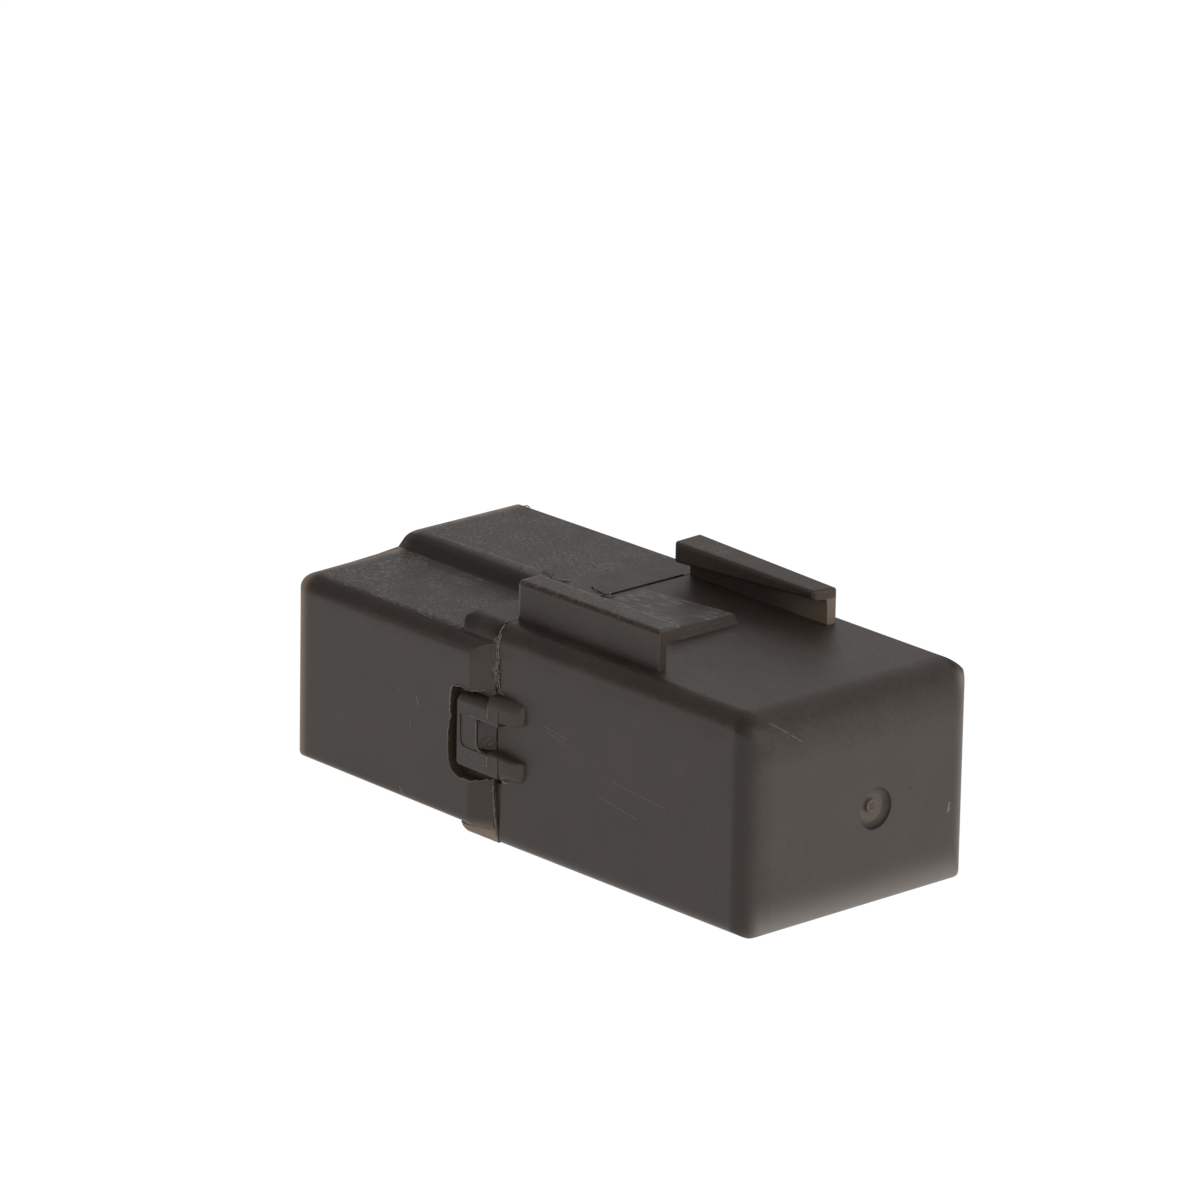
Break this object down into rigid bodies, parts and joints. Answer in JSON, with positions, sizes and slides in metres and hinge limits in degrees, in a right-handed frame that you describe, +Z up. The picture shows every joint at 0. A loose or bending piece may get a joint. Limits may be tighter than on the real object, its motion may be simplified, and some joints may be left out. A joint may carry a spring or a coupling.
{
  "type": "automotive relay",
  "caption": "Plug-in changeover relay in a snapped plastic cover, with bracket rails and a lock ramp on top, a shrouded blade connector and a sprung armature inside.",
  "frame": {"origin": "middle of the whole part's footprint, on the plane that it lies on", "axes": "+Z up, from the flat bottom to the bracket rails; +X along the length, from the connector mouth to the closed end; +Y from the ribbed front to the back"},
  "size_m": [0.0598, 0.0274, 0.0242],
  "materials": {
    "cover_plastic": "dark warm grey moulded plastic, satin, fine handling scratches",
    "base_plastic": "dark warm grey moulded plastic, satin",
    "bobbin_plastic": "natural moulded plastic",
    "coil_wire": "copper, the winding enamelled",
    "iron": "plated soft iron, satin",
    "spring_bronze": "rolled bronze strip",
    "contact_silver": "silver alloy rivet",
    "spring_steel": "drawn spring wire",
    "blade_brass": "stamped brass strip, tinned blades",
    "resistor_body": "glazed coating",
    "tinned_wire": "tinned copper wire"
  },
  "bodies": {
    "case": {"cover": "cover_plastic", "connector_housing": "base_plastic", "coil_bobbin": "bobbin_plastic", "coil_winding": "coil_wire", "iron_core": "iron", "yoke": "iron", "return_spring": "spring_steel", "copper_braid": "coil_wire", "open_terminal": "blade_brass", "open_contact": "contact_silver", "closed_terminal": "blade_brass", "closed_contact": "contact_silver", "common_terminal": "blade_brass", "upper_coil_terminal": "blade_brass", "lower_coil_terminal": "blade_brass", "upper_coil_lead": "coil_wire", "lower_coil_lead": "coil_wire", "suppression_resistor": "resistor_body", "resistor_leads": "tinned_wire"},
    "armature_group": {"armature": "iron", "contact_leaf": "spring_bronze", "leaf_rivets": "iron", "moving_contact": "contact_silver"}
  },
  "joints": [
    {"name": "armature_hinge", "type": "hinge", "parent": "case", "child": "armature_group", "pos_m": [0.0221, 0.0097, 0.01025], "axis": [0, 0, -1], "range_deg": [0, 3.4], "stiffness_Nm_per_rad": 0.01, "springref_deg": -11.46}
  ]
}
